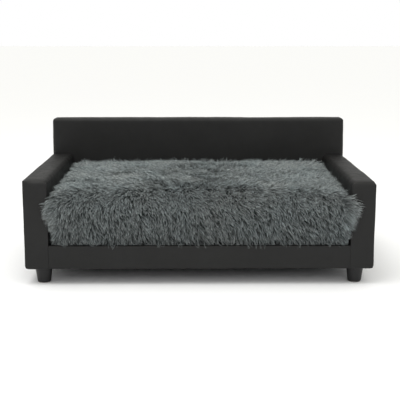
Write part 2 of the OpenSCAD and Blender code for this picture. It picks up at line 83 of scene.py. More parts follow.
def new_object(name, verts, faces):
    """A smooth-shaded mesh object from arrays of vertices and of faces with equal corner counts."""
    me = bpy.data.meshes.new(name)
    verts = np.asarray(verts, np.float64)
    faces = np.asarray(faces, np.int32)
    corners = faces.shape[1]
    me.vertices.add(len(verts))
    me.vertices.foreach_set("co", verts.ravel())
    me.loops.add(faces.size)
    me.loops.foreach_set("vertex_index", faces.ravel())
    me.polygons.add(len(faces))
    me.polygons.foreach_set("loop_start", np.arange(0, faces.size, corners, dtype=np.int32))
    me.polygons.foreach_set("use_smooth", np.ones(len(faces), bool))
    me.update(calc_edges=True)
    me.validate()
    return add_object(name, me)


def values_of(items, key, width=3, kind=np.float64):
    """An attribute of a mesh's items as an array with width columns."""
    out = np.empty(len(items) * width, kind)
    items.foreach_get(key, out)
    return out.reshape(-1, width)


def coords(me):
    """The mesh's vertices as an n x 3 array."""
    return values_of(me.vertices, "co")


def normals(me):
    """The mesh's vertex normals as an n x 3 array."""
    return values_of(me.vertex_normals, "vector")


def set_coords(me, p):
    """Moves the mesh's vertices to the n x 3 array."""
    me.vertices.foreach_set("co", p.ravel())
    me.update()


def waves(p, wavelength, seed, terms=12):
    """Smooth noise of about -1 to 1 at the points p: a sum of sine waves in fixed random directions."""
    rng = np.random.default_rng(seed)
    k = rng.normal(size=(terms, p.shape[1]))
    k *= (2 * math.pi / wavelength / np.linalg.norm(k, axis=1) * rng.uniform(0.6, 1.5, terms))[:, None]
    phase = rng.uniform(0, 2 * math.pi, terms)
    return np.sin(p @ k.T + phase).sum(axis=1) / math.sqrt(terms)


def unit(v):
    """The rows of v at length 1."""
    return v / np.maximum(np.linalg.norm(v, axis=-1, keepdims=True), 1e-12)


def smoothstep(x, lo, hi):
    """0 below lo, 1 above hi and smooth between them."""
    t = np.clip((x - lo) / (hi - lo), 0, 1)
    return t * t * (3 - 2 * t)


def lines(lo, hi, step, edge, seams=()):
    """Grid coordinates from lo to hi, about step apart and closer within edge of the ends and at seams."""
    near = [0, 0.12, 0.25, 0.4, 0.55, 0.7, 0.85, 1]
    marks = [lo + edge * k for k in near] + [hi - edge * k for k in near]
    n = max(2, round((hi - lo - 2 * edge) / step))
    marks += list(np.linspace(lo + edge, hi - edge, n + 1))
    for s in seams:
        # the plain rows give way to a closer set across the seam
        marks = [m for m in marks if abs(m - s) > 2.6 * MM or m in (lo, hi)]
        marks += [s + k * MM for k in (-2.2, -1.3, -0.6, 0, 0.6, 1.3, 2.2)]
    marks = np.unique(np.round(marks, 7))
    keep = [marks[0]] + [m for a, m in zip(marks, marks[1:]) if m - a > 0.3 * MM]
    return np.array(keep)


def box_surface(xs, ys, zs):
    """Vertices and outward quads of the surface of a grid box."""
    shape = (len(xs), len(ys), len(zs))
    grid = np.stack(np.meshgrid(xs, ys, zs, indexing="ij"), axis=-1)
    index = np.indices(shape)
    shell = np.zeros(shape, bool)
    for axis, n in enumerate(shape):
        shell |= (index[axis] == 0) | (index[axis] == n - 1)
    ids = np.full(shape, -1)
    ids[shell] = np.arange(shell.sum())
    quads = []
    for axis in range(3):
        for end in (0, -1):
            face = np.take(ids, end, axis=axis)
            a, b, c, d = face[:-1, :-1], face[1:, :-1], face[1:, 1:], face[:-1, 1:]
            quad = np.stack([a, b, c, d], axis=-1).reshape(-1, 4)
            outward = (end == -1) != (axis == 1)
            quads.append(quad if outward else quad[:, ::-1])
    return grid[shell], np.concatenate(quads)


def sheet_surface(us, vs, w_lo, w_hi, keep=None):
    """Vertices (u, v, w) and quads of a flat sheet; keep says which cells of its grid are cloth."""
    nu, nv = len(us), len(vs)
    keep = np.ones((nu - 1, nv - 1), bool) if keep is None else keep
    u, v = np.meshgrid(us, vs, indexing="ij")
    p = np.concatenate([np.stack([u, v, np.full_like(u, w)], axis=-1).reshape(-1, 3) for w in (w_lo, w_hi)])
    ids = np.arange(nu * nv).reshape(nu, nv)
    upper = nu * nv
    corners = [ids[i:nu - 1 + i, j:nv - 1 + j] for i, j in ((0, 0), (1, 0), (1, 1), (0, 1))]
    a, b, c, d = (corner[keep] for corner in corners)
    quads = [np.stack([a, b, c, d], axis=-1) + upper, np.stack([a, d, c, b], axis=-1)]
    padded = np.pad(keep, 1)
    beside = (padded[1:-1, :-2], padded[2:, 1:-1], padded[1:-1, 2:], padded[:-2, 1:-1])
    for k, neighbour in enumerate(beside):
        edge = keep & ~neighbour
        e0, e1 = corners[k][edge], corners[(k + 1) % 4][edge]
        quads.append(np.stack([e0, e1, e1 + upper, e0 + upper], axis=-1))
    quads = np.concatenate(quads)
    used, quads = np.unique(quads, return_inverse=True)
    return p[used], quads.reshape(-1, 4)


def join(*surfaces):
    """One surface of several (vertices, faces)."""
    points, faces, start = [], [], 0
    for p, f in surfaces:
        points.append(p)
        faces.append(np.asarray(f) + start)
        start += len(p)
    return np.concatenate(points), np.concatenate(faces)


def faces_of(me):
    """A quad mesh's faces as an n x 4 array."""
    return values_of(me.loops, "vertex_index", 1, np.int32).reshape(-1, 4)


def round_edges(p, axes, corner, away, r):
    """Rounds the box edge at corner = (u, v) in the plane of axes; away points from the corner into the box.

    r is one radius, or one for every point.
    """
    u, v = axes
    r = np.broadcast_to(r, len(p))
    a = 1 - (p[:, u] - corner[0]) * away[0] / r
    b = 1 - (p[:, v] - corner[1]) * away[1] / r
    near = (a > 0) & (b > 0)
    a, b, r = a[near], b[near], r[near]
    scale = np.maximum(a, b) / np.hypot(a, b)
    p[near, u] = corner[0] + away[0] * r * (1 - a * scale)
    p[near, v] = corner[1] + away[1] * r * (1 - b * scale)


def four_edges(axes, lo, hi, r):
    """The arguments of round_edges for a box's four edges that stand end on in the plane of axes."""
    (u_lo, u_hi), (v_lo, v_hi) = ((lo[k], hi[k]) for k in axes)
    return [(axes, (u, v), (away_u, away_v), r)
            for u, away_u in ((u_lo, 1), (u_hi, -1)) for v, away_v in ((v_lo, 1), (v_hi, -1))]


def bulge(p, lo, hi, axis, sign, height, open_ends=()):
    """Puffs one face of a box out by height in its middle; open_ends are axes along which it doesn't fade."""
    face = (p[:, axis] - (hi if sign > 0 else lo)[axis]) * sign > -1.2 * MM
    amount = np.full(len(p), float(height))
    for other in range(3):
        if other == axis or other in open_ends:
            continue
        t = np.clip((p[:, other] - lo[other]) / (hi[other] - lo[other]) * 2 - 1, -1, 1)
        amount *= 1 - np.abs(t) ** 3
    p[:, axis] += np.where(face, sign * amount, 0)


# ---- materials ----

class Look:
    """A material's node tree with short calls for the nodes that the looks below share."""

    def __init__(self, name, roughness=0.5, specular=0.5, metallic=0.0, **inputs):
        self.material = bpy.data.materials.new(name)
        self.material.use_nodes = True
        self.tree = self.material.node_tree
        self.shader = self.tree.nodes["Principled BSDF"]
        inputs.update({"Roughness": roughness, "Specular IOR Level": specular, "Metallic": metallic})
        for key, value in inputs.items():
            self.shader.inputs[key.replace("_", " ")].default_value = value
        self.coordinates = self.node("ShaderNodeTexCoord").outputs["Object"]

    def feed(self, socket, value):
        """Links an input to another node's output, or sets its value."""
        if isinstance(value, bpy.types.NodeSocket):
            self.tree.links.new(value, socket)
        else:
            socket.default_value = value

    def node(self, kind, **settings):
        """A node with its attributes, and its inputs given as a dict, set."""
        n = self.tree.nodes.new(kind)
        for key, value in settings.pop("inputs", {}).items():
            self.feed(n.inputs[key], value)
        for key, value in settings.items():
            setattr(n, key, value)
        return n

    def noise(self, scale, detail=4, roughness=0.55, stretch=None):
        """Noise at scale per metre, 0 to 1, stretched by (x, y, z) if stretch is given."""
        where = self.coordinates
        if stretch:
            where = self.node("ShaderNodeMapping", inputs={"Vector": where, "Scale": stretch}).outputs[0]
        return self.node("ShaderNodeTexNoise", inputs={
            "Vector": where, "Scale": scale, "Detail": detail, "Roughness": roughness}).outputs["Fac"]

    def cells(self, scale):
        """Distance to the next cell's edge, for scale cells per metre."""
        return self.node("ShaderNodeTexVoronoi", feature="DISTANCE_TO_EDGE", inputs={
            "Vector": self.coordinates, "Scale": scale}).outputs["Distance"]

    def ramp(self, value, *stops):
        """Colours or greys at the positions in stops = (position, colour)."""
        n = self.node("ShaderNodeValToRGB", inputs={"Fac": value})
        elements = n.color_ramp.elements
        while len(elements) < len(stops):
            elements.new(0.5)
        for element, (place, colour) in zip(elements, stops):
            element.position = place
            grey = isinstance(colour, (int, float))
            element.color = (*((colour,) * 3 if grey else colour), 1)
        return n.outputs["Color"]

    def mix(self, factor, a, b, blend="MIX"):
        """Colour a mixed with colour b."""
        n = self.node("ShaderNodeMix", data_type="RGBA", blend_type=blend)
        for key, value in (("Factor", factor), ("A", a), ("B", b)):
            socket = next(s for s in n.inputs if s.name == key and s.enabled)
            self.feed(socket, (*value, 1) if isinstance(value, tuple) else value)
        return next(s for s in n.outputs if s.enabled)

    def math(self, operation, a, b=0.0):
        """A Math node's result."""
        n = self.node("ShaderNodeMath", operation=operation)
        for socket, value in zip(n.inputs, (a, b)):
            self.feed(socket, value)
        return n.outputs[0]

    def colour(self, socket):
        """Sets the shader's colour."""
        self.tree.links.new(socket, self.shader.inputs["Base Color"])

    def roughness(self, socket):
        """Sets the shader's roughness."""
        self.tree.links.new(socket, self.shader.inputs["Roughness"])

    def bump(self, *layers):
        """Bumps laid on each other; each layer is (height, strength, distance in metres)."""
        normal = None
        for height, strength, distance in layers:
            inputs = {"Height": height, "Strength": strength, "Distance": distance}
            if normal:
                inputs["Normal"] = normal
            normal = self.node("ShaderNodeBump", inputs=inputs).outputs["Normal"]
        self.tree.links.new(normal, self.shader.inputs["Normal"])


def leather_look(name):
    """Black coated fabric with a fine pebbled grain, slightly paler where it is stretched."""
    look = Look(name, specular=0.24)
    mottle = look.noise(9, detail=3)
    look.colour(look.mix(mottle, (0.0088, 0.0088, 0.0087), (0.0134, 0.0134, 0.0131)))
    grain = look.cells(900)
    pebbles = look.ramp(grain, (0.0, 0.0), (0.18, 1.0))
    look.roughness(look.ramp(look.noise(40), (0.3, 0.44), (0.7, 0.56)))
    look.bump((look.noise(14, detail=2), 0.25, 0.004), (pebbles, 0.22, 0.00035),
              (look.noise(2600), 0.12, 0.0002))
    return look.material


def woven(name, dark, light, scale=700, rough=0.9):
    """Cloth woven from two crossing sets of threads, scale threads per metre."""
    look = Look(name, roughness=rough, specular=0.2)
    threads = {"Vector": look.coordinates, "Scale": scale / TURN, "Distortion": 0.6, "Detail": 1}
    warp, weft = (look.node("ShaderNodeTexWave", bands_direction=axis, inputs=dict(threads)).outputs["Fac"]
                  for axis in "XY")
    weave = look.math("MULTIPLY", warp, weft)
    tone = look.math("ADD", look.math("MULTIPLY", weave, 0.6), look.math("MULTIPLY", look.noise(60), 0.5))
    look.colour(look.mix(tone, dark, light))
    look.bump((weave, 0.5, 0.0004), (look.noise(25), 0.2, 0.003))
    return look.material


def timber(name, dark, light, along, rings=26):
    """Wood with its grain along one axis."""
    look = Look(name, roughness=0.6, specular=0.3)
    stretch = tuple(0.06 if k == along else 1.0 for k in range(3))
    grain = look.noise(rings * 3, detail=6, roughness=0.65, stretch=stretch)
    fibres = look.noise(900, detail=2, stretch=tuple(0.02 if k == along else 1.0 for k in range(3)))
    tone = look.mix(0.25, look.ramp(grain, (0.35, dark), (0.65, light)),
                    look.ramp(fibres, (0.3, dark), (0.7, light)))
    look.colour(tone)
    look.bump((fibres, 0.3, 0.0003))
    return look.material


def steel(name, colour, rough=0.35):
    """Zinc-plated or cast metal with faint streaks."""
    look = Look(name, metallic=1.0)
    streaks = look.noise(1500, detail=2, stretch=(0.1, 0.1, 1.0))
    look.colour(look.mix(streaks, tuple(c * 0.8 for c in colour), colour))
    look.roughness(look.ramp(look.noise(300), (0.3, rough - 0.08), (0.7, rough + 0.12)))
    look.bump((streaks, 0.08, 0.0002))
    return look.material


def moulded_plastic(name, colour, rough=0.42, specular=0.5):
    """Injection-moulded plastic with a faint spark-eroded texture."""
    look = Look(name, specular=specular)
    look.colour(look.mix(look.noise(30), tuple(c * 0.8 for c in colour), tuple(c * 1.25 for c in colour)))
    look.roughness(look.ramp(look.noise(120), (0.3, rough - 0.06), (0.7, rough + 0.08)))
    look.bump((look.noise(3000, detail=2), 0.15, 0.0002))
    return look.material


def fluff(name, dark, light, scale=250):
    """Felt, wadding or foam: a matt, finely broken surface."""
    look = Look(name, roughness=0.95, specular=0.1)
    look.colour(look.mix(look.noise(scale, detail=6), dark, light))
    look.bump((look.noise(scale * 4, detail=4), 0.6, 0.0008))
    return look.material


def faux_fur(name):
    """Fur strands, read from each strand's own place (0 at the root, 1 at the tip) and its own shade."""
    look = Look(name, specular=0.35, Sheen_Weight=0.15, Sheen_Roughness=0.5)
    place = look.node("ShaderNodeAttribute", attribute_name="place").outputs["Fac"]
    shade = look.node("ShaderNodeAttribute", attribute_name="shade").outputs["Fac"]
    # darker towards the root: partly the fibre's own colour, partly painted shade down in the pile between
    # the strands
    body = look.ramp(place, (0.0, (0.02, 0.025, 0.026)), (0.35, (0.097, 0.115, 0.118)),
                     (0.7, (0.262, 0.296, 0.302)), (1.0, (0.485, 0.53, 0.535)))
    cool = look.mix(look.noise(7, detail=2), (0.92, 1.0, 1.02), (1.06, 1.0, 0.96))
    tinted = look.mix(1.0, body, cool, "MULTIPLY")
    # the shade attribute holds each strand's random tone together with painted light on the cushion's top and
    # painted shade on its brow and towards its foot
    shaded = look.mix(1.0, tinted, look.ramp(shade, (0.0, 0.3), (0.5, 0.82), (1.0, 1.5)), "MULTIPLY")
    look.colour(shaded)
    look.roughness(look.ramp(shade, (0.0, 0.62), (1.0, 0.48)))
    return look.material


def fur_backing(name):
    """The dense short under-fur between the strands."""
    look = Look(name, roughness=0.9, specular=0.1)
    fibres = look.noise(420, detail=6, roughness=0.7)
    look.colour(look.ramp(fibres, (0.3, (0.028, 0.034, 0.034)), (0.75, (0.075, 0.087, 0.086))))
    look.bump((fibres, 0.9, 0.003))
    return look.material


TIMBER = ((0.5, 0.33, 0.16), (0.68, 0.5, 0.29))
PLYWOOD = ((0.42, 0.27, 0.13), (0.6, 0.42, 0.23))
MATERIALS = {name: look(name, *settings) for name, look, *settings in (
    ("leather_look_cover", leather_look),
    ("wadding", fluff, (0.7, 0.7, 0.68), (0.85, 0.85, 0.83)),
    ("plywood", timber, *PLYWOOD, 0, 14),
    ("timber", timber, *TIMBER, 0),
    ("zinc_steel", steel, (0.55, 0.56, 0.58)),
    ("foot_plastic", moulded_plastic, (0.012, 0.012, 0.0125), 0.42, 0.3),
    ("felt", fluff, (0.16, 0.15, 0.14), (0.3, 0.28, 0.26), 500),
    ("black_cloth", woven, (0.008, 0.008, 0.009), (0.035, 0.035, 0.037)),
    ("foam", fluff, (0.72, 0.66, 0.45), (0.86, 0.8, 0.6), 700),
    ("liner_cloth", woven, (0.6, 0.6, 0.58), (0.82, 0.82, 0.8), 900),
    ("faux_fur", faux_fur),
    ("zip_tape", woven, (0.008, 0.008, 0.009), (0.03, 0.03, 0.03), 1600, 0.8),
    ("zip_teeth", moulded_plastic, (0.02, 0.02, 0.021), 0.3),
    ("zip_metal", steel, (0.32, 0.32, 0.34), 0.3),
    ("thread", woven, (0.012, 0.012, 0.013), (0.04, 0.04, 0.042), 2500, 0.7),
)}
UPRIGHT = timber("timber_upright", *TIMBER, 2)
LENGTHWISE = timber("timber_lengthwise", *TIMBER, 1)
FRONT_TO_BACK = ("arm_", "deck_ledger_left", "deck_ledger_right", "deck_crossbars")
BACKING = fur_backing("fur_backing")


def paint(ob, material):
    """Gives a new piece its material."""
    ob.data.materials.clear()
    ob.data.materials.append(material)


def paint_cad_nodes():
    """Gives every CAD node the material of its slot, with the wood's grain along each timber."""
    for row in frame["record"]["subparts"]:
        name, slot_name = row["node"], row["material_slot"]
        material = MATERIALS[slot_name]
        if "posts" in name:
            material = UPRIGHT
        elif slot_name == "timber" and name.startswith(FRONT_TO_BACK):
            material = LENGTHWISE
        for s in frame["nodes"][name].material_slots:
            s.link = "OBJECT"
            s.material = material


# ---- upholstered frame ----

EDGE = 12 * MM      # rounding of the softer outer edges
CRISP = 4 * MM      # rounding of the arms' left-hand outer edges, where the cover is pulled tighter
ARM_RISE = 5 * MM   # the left arm's cover is stuffed a little higher than the right one's
SEAM_IN = 9 * MM    # a seam's distance from the face whose panel it borders
STITCH = 5 * MM     # from one stitch to the next
PANEL_GRID = 8 * MM  # spacing of the panels' grid lines
COVER_IN = 2.2 * MM  # from the outside of a cover to its wadding
CORE_IN = 4 * MM     # least depth of cover and wadding over the timber


def stitches(name, loop, out):
    """A row of short stitches along a closed loop of points, each raised along its row of out."""
    length = np.linalg.norm(np.roll(loop, -1, axis=0) - loop, axis=1)
    total = np.concatenate([[0], np.cumsum(length)])
    at = np.arange(0, total[-1] - STITCH, STITCH)
    closed = np.concatenate([loop, loop[:1]])
    outs = np.concatenate([out, out[:1]])
    centre, ahead, lift = (
        np.stack([np.interp(where, total, values[:, k]) for k in range(3)], axis=1)
        for where, values in ((at, closed), (at + 1 * MM, closed), (at, outs)))
    lift = unit(lift)
    along = unit(ahead - centre)
    across = np.cross(along, lift)
    rings = ((-1.75, 0.12), (-1.2, 0.42), (0, 0.5), (1.2, 0.42), (1.75, 0.12))  # place and radius in mm
    verts = []
    for d, r in rings:
        for k in range(6):
            t = k * math.pi / 3
            place = along * d + across * r * math.cos(t) + lift * (r * math.sin(t) + 0.1)
            verts.append(centre + place * MM)
    verts = np.stack(verts, axis=1)
    faces = [(6 * r + k, 6 * r + (k + 1) % 6, 6 * r + 6 + (k + 1) % 6, 6 * r + 6 + k)
             for r in range(len(rings) - 1) for k in range(6)]
    ends = [(3, 2, 1, 0), (5, 4, 3, 0), (24, 25, 26, 27), (24, 27, 28, 29)]
    faces = np.array(faces + ends)
    all_faces = (faces[None] + np.arange(len(at))[:, None, None] * verts.shape[1]).reshape(-1, 4)
    ob = new_object(name, verts.reshape(-1, 3), all_faces)
    paint(ob, MATERIALS["thread"])
    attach(ob, "frame")


def ring_at(p, n, flat_y, y, centre):
    """The loop of surface points whose grid line is nearest y, in order round centre, with their normals."""
    near = np.abs(flat_y - flat_y[np.argmin(np.abs(flat_y - y))]) < 1e-9
    near &= np.abs(n[:, 1]) < 0.75
    q, m = p[near], n[near]
    order = np.argsort(np.arctan2(q[:, 2] - centre[2], q[:, 0] - centre[0]))
    return q[order], m[order]


def upholstered(name, node, lo, hi, seams, stitched, rounds, puffs, seed, wadding):
    """A padded panel under tight leather-look fabric, and the wadding under it.

    seams are places along Y of seams that run all round, stitched the places of rows of stitches,
    rounds are the arguments of round_edges and puffs those of bulge. wadding is the CAD node of the
    wadding, with the low and the high corner of the timber that it covers.
    """
    across = ((), (*seams, *stitched), ())
    p, quads = box_surface(*(lines(lo[k], hi[k], PANEL_GRID, EDGE, across[k]) for k in range(3)))
    flat_y = p[:, 1].copy()
    for axis, sign, height, open_ends in puffs:
        bulge(p, lo, hi, axis, sign, height, open_ends)
    for axes, corner, away, r in rounds:
        round_edges(p, axes, corner, away, r(p) if callable(r) else r)
    ob = new_object(name, p, quads)
    n = normals(ob.data)
    depth = np.zeros(len(p))
    around = np.abs(n[:, 1]) < 0.6
    for s in seams:
        d = np.abs(flat_y - s)
        depth -= np.where(around, 1.2 * MM * np.exp(-(d / (0.8 * MM)) ** 2), 0)
        # the pull of the stitches makes short puckers across the seam
        along = p[:, 0] + p[:, 2]
        pull = np.sin(along / (9 * MM) * 2 * math.pi + 2 * waves(p, 60 * MM, seed)) * 0.15 * MM
        depth += np.where(around, pull * np.exp(-d / (5 * MM)), 0)
    depth += 0.5 * MM * waves(p, 170 * MM, seed + 1) + 0.15 * MM * waves(p, 50 * MM, seed + 2)
    q = p + n * depth[:, None]
    set_coords(ob.data, q)
    paint(ob, MATERIALS["leather_look_cover"])
    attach(ob, "frame")
    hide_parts(node)
    for k, s in enumerate(stitched):
        stitches(f"{name}_stitches_{k + 1}", *ring_at(q, n, flat_y, s, (lo + hi) / 2))
    wad_node, core_lo, core_hi = wadding
    inner_lo = np.maximum(core_lo, lo + CORE_IN)
    inner_hi = np.minimum(core_hi, hi - CORE_IN)
    core, core_quads = box_surface(*([a, b] for a, b in zip(inner_lo, inner_hi)))
    layer = new_object(f"{name}_wadding", *join((q - n * COVER_IN, quads), (core, core_quads[:, ::-1])))
    paint(layer, MATERIALS["wadding"])
    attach(layer, "frame")
    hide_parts(wad_node)


def core_of(*nodes):
    """The low and high corners of the box round some CAD nodes."""
    boxes = [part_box(n) for n in nodes]
    return np.min([b[0] for b in boxes], axis=0), np.max([b[1] for b in boxes], axis=0)


def backrest():
    """The long panel at the back, with a seam and a row of stitches near its front and its rear face."""
    lo, hi = back_lo.copy(), back_hi.copy()
    rounds = [edge for axes in ((0, 2), (1, 2), (0, 1)) for edge in four_edges(axes, lo, hi, EDGE)]
    puffs = [(1, -1, 1.5 * MM, ()), (1, 1, 1.0 * MM, ()), (0, -1, 2.5 * MM, ()), (0, 1, 2.5 * MM, ())]
    core = core_of("back_bottom_rail", "back_top_rail", "back_front_board", "back_rear_board")
    upholstered("backrest_cover", "back_cover", lo, hi, (lo[1] + SEAM_IN, hi[1] - SEAM_IN),
                (lo[1] + 2 * SEAM_IN, hi[1] - 2 * SEAM_IN), rounds, puffs, 3, ("back_wadding", *core))


def arm(side):
    """The left arm for side -1 and the right one for side 1."""
    name = "left" if side < 0 else "right"
    lo, hi = arm_lo.copy(), arm_hi.copy()
    if side > 0:
        lo[0], hi[0] = -arm_hi[0], -arm_lo[0]
    outer, inner = (lo[0], hi[0]) if side < 0 else (hi[0], lo[0])
    out_away, in_away = (1, -1) if side < 0 else (-1, 1)
    outer_r = CRISP if side < 0 else EDGE
    hi[1] -= 0.6 * MM
    if side < 0:
        hi[2] += ARM_RISE
    front_top, front_inner = 17 * MM, 1.5 * MM

    def crisp_corner(p):
        """The left arm's front edge is crisper at its outer corner."""
        return CRISP + (front_top - CRISP) * smoothstep(np.abs(p[:, 0] - outer), 0, 30 * MM)

    rounds = [
        ((0, 2), (outer, hi[2]), (out_away, -1), outer_r),
        ((0, 2), (inner, hi[2]), (in_away, -1), EDGE + 4 * MM),
        ((0, 2), (outer, lo[2]), (out_away, 1), EDGE), ((0, 2), (inner, lo[2]), (in_away, 1), CRISP),
        ((1, 2), (lo[1], hi[2]), (1, -1), front_top if side > 0 else crisp_corner),
        ((1, 2), (lo[1], lo[2]), (1, 1), CRISP),
        ((0, 1), (outer, lo[1]), (out_away, 1), CRISP), ((0, 1), (inner, lo[1]), (in_away, 1), front_inner),
    ]
    puffs = [(2, 1, 2.5 * MM, ()), (0, -1, 2.0 * MM, ()), (0, 1, 2.0 * MM, ()), (1, -1, 0.6 * MM, ())]
    parts = ("bottom_rail", "top_rail", "outer_board", "inner_board")
    core = core_of(*(f"arm_{part}_{name}" for part in parts))
    upholstered(f"arm_cover_upholstery_{name}", f"arm_cover_{name}", lo, hi, (lo[1] + front_top,),
                (lo[1] + front_top + SEAM_IN,), rounds, puffs, 5 + side, (f"arm_wadding_{name}", *core))


def front_rail():
    """The low panel between the arms, without seams."""
    lo, hi = rail_lo.copy(), rail_hi.copy()
    puffs = [(1, -1, 0.6 * MM, ())]
    upholstered("front_rail_upholstery", "front_rail_cover", lo, hi, (), (),
                four_edges((1, 2), lo, hi, 5 * MM), puffs, 11,
                ("front_rail_wadding", *core_of("front_rail_board")))


# ---- cushion ----

base_top = float(base_lo[2] + 1.5 * MM)  # the upper side of the plain base panel
band_face = float(base_hi[1])            # the rear face of the plain band that carries the zip
band_top = float(base_hi[2])
band_x = float(fur_hi[0]) - 52 * MM      # half the band's length
SWELL_FRAMES = 20                        # length of the cloth simulation


def cushion_form():
    """The cushion's cloth before it swells: a soft box with a crowned top, pulled in at its lower corners."""
    lo = np.array([fur_lo[0] + 5 * MM, fur_lo[1] + 6 * MM, base_top + 0.2 * MM])
    hi = np.array([fur_hi[0] - 5 * MM, fur_hi[1] - 6 * MM, fur_hi[2] - 5 * MM])
    r_side, r_front, r_end, r_low, r_plan = 22 * MM, 58 * MM, 24 * MM, 14 * MM, 16 * MM
    p, quads = box_surface(*(lines(a, b, 14 * MM, 62 * MM) for a, b in zip(lo, hi)))
    bulge(p, lo, hi, 2, 1, 10 * MM)
    bulge(p, lo, hi, 1, -1, 4 * MM, open_ends=(0,))
    for x, ax in ((lo[0], 1), (hi[0], -1)):
        round_edges(p, (0, 2), (x, hi[2]), (ax, -1), r_side)
        round_edges(p, (0, 2), (x, lo[2]), (ax, 1), r_low)
    r_along = r_front + (r_end - r_front) * smoothstep(np.abs(p[:, 0]), bay_x - 150 * MM, bay_x - 30 * MM)
    for y, ay, r in ((lo[1], 1, r_along), (hi[1], -1, r_side)):
        round_edges(p, (1, 2), (y, hi[2]), (ay, -1), r)
        round_edges(p, (1, 2), (y, lo[2]), (ay, 1), r_low)
    for edge in four_edges((0, 1), lo, hi, r_plan):
        round_edges(p, *edge)
    # the filling has settled a little towards the front, and the top is not quite even
    height = np.clip((p[:, 2] - lo[2]) / (hi[2] - lo[2]), 0, 1)
    forward = smoothstep(-p[:, 1], -0.12, 0.34)
    p[:, 2] += height * MM * (6 * smoothstep(p[:, 1], -0.1, 0.2) - 3 * forward)
    p[:, 2] += height * 1.5 * MM * waves(p[:, :2], 0.42, 22)
    return new_object("fur_backing_cloth", p, quads)


def swell(ob, voxel, pressure, cap):
    """Inflates a closed cloth by simulation, and applies the result; no point moves further than cap."""
    bpy.context.view_layer.objects.active = ob
    remesh = ob.modifiers.new("remesh", "REMESH")
    remesh.mode = "VOXEL"
    remesh.voxel_size = voxel
    bpy.ops.object.modifier_apply(modifier=remesh.name)
    before = coords(ob.data)
    cloth = ob.modifiers.new("cloth", "CLOTH")
    cloth.settings.use_pressure = True
    cloth.settings.uniform_pressure_force = pressure
    cloth.settings.effector_weights.gravity = 0
    cloth.settings.quality = 5
    cloth.settings.mass = 0.4
    cloth.point_cache.frame_start, cloth.point_cache.frame_end = 1, SWELL_FRAMES
    scene = bpy.context.scene
    for f in range(1, SWELL_FRAMES + 1):
        scene.frame_set(f)
    swollen = ob.evaluated_get(bpy.context.evaluated_depsgraph_get())
    after = coords(swollen.data)
    ob.modifiers.remove(cloth)
    scene.frame_set(1)
    move = after - before
    size = np.linalg.norm(move, axis=1, keepdims=True)
    move *= cap * np.tanh(size / cap) / np.maximum(size, 1e-9)
    set_coords(ob.data, before + move)


def keep_in_bay(p, front, gap):
    """Moves points out of the arms, the backrest and the deck; only those before front may pass the arms."""
    behind = p[..., 1] > front
    limit = bay_x - gap
    p[..., 0] = np.where(behind, np.clip(p[..., 0], -limit, limit), p[..., 0])
    p[..., 1] = np.minimum(p[..., 1], joint_y - gap)
    p[..., 2] = np.where(behind, np.maximum(p[..., 2], base_top), p[..., 2])
    return p


def clear_band(p, room):
    """Moves points forwards off the plain band at the back."""
    beside = smoothstep(band_x + 14 * MM - np.abs(p[..., 0]), 0, 12 * MM)
    below = smoothstep(band_top + 12 * MM - p[..., 2], 0, 10 * MM)
    limit = joint_y - (joint_y - band_face + room) * beside * below
    p[..., 1] = np.minimum(p[..., 1], limit)
    return p


def over_band(p):
    """Moves points below the plain band's top out to its rear face, so that no strand pierces it."""
    over = (np.abs(p[..., 0]) < band_x + 2 * MM) & (p[..., 2] < band_top + 1 * MM)
    over &= p[..., 1] > band_face - 14 * MM
    p[..., 1] = np.where(over, np.maximum(p[..., 1], band_face + 1.2 * MM), p[..., 1])
    return p


def shrunk(name, source, node, slot_name, inset, wall=None):
    """A copy of the cushion's cloth, further in, for a layer below it; a bag if wall is given."""
    p, n, faces = coords(source.data), normals(source.data), faces_of(source.data)
    surfaces = [(p - n * inset, faces)]
    if wall:
        surfaces.append((p - n * (inset + wall), faces[:, ::-1]))
    ob = new_object(name, *join(*surfaces))
    paint(ob, MATERIALS[slot_name])
    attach(ob, "cushion")
    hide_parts(node)


def cushion_cloth():
    """The cushion's cover under its fur, and the bag and the foam in it."""
    ob = cushion_form()
    swell(ob, voxel=9 * MM, pressure=4.0, cap=8 * MM)
    p = keep_in_bay(coords(ob.data), front_y, 4 * MM)
    p[:, 1] = np.maximum(p[:, 1], front_y - 14 * MM)
    set_coords(ob.data, clear_band(p, 4.5 * MM))
    ob.data.polygons.foreach_set("use_smooth", np.ones(len(ob.data.polygons), bool))
    paint(ob, BACKING)
    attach(ob, "cushion")
    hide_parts("fur_cover")
    shrunk("foam_bag", ob, "foam_liner", "liner_cloth", 3 * MM, 0.8 * MM)
    shrunk("foam_block", ob, "cushion_foam", "foam", 4.2 * MM)
    return ob


def cloth_piece(name, node, surface, slot_name, body):
    """A flat cloth that replaces a CAD node."""
    ob = new_object(name, *surface)
    paint(ob, MATERIALS[slot_name])
    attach(ob, body)
    if node:
        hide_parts(node)


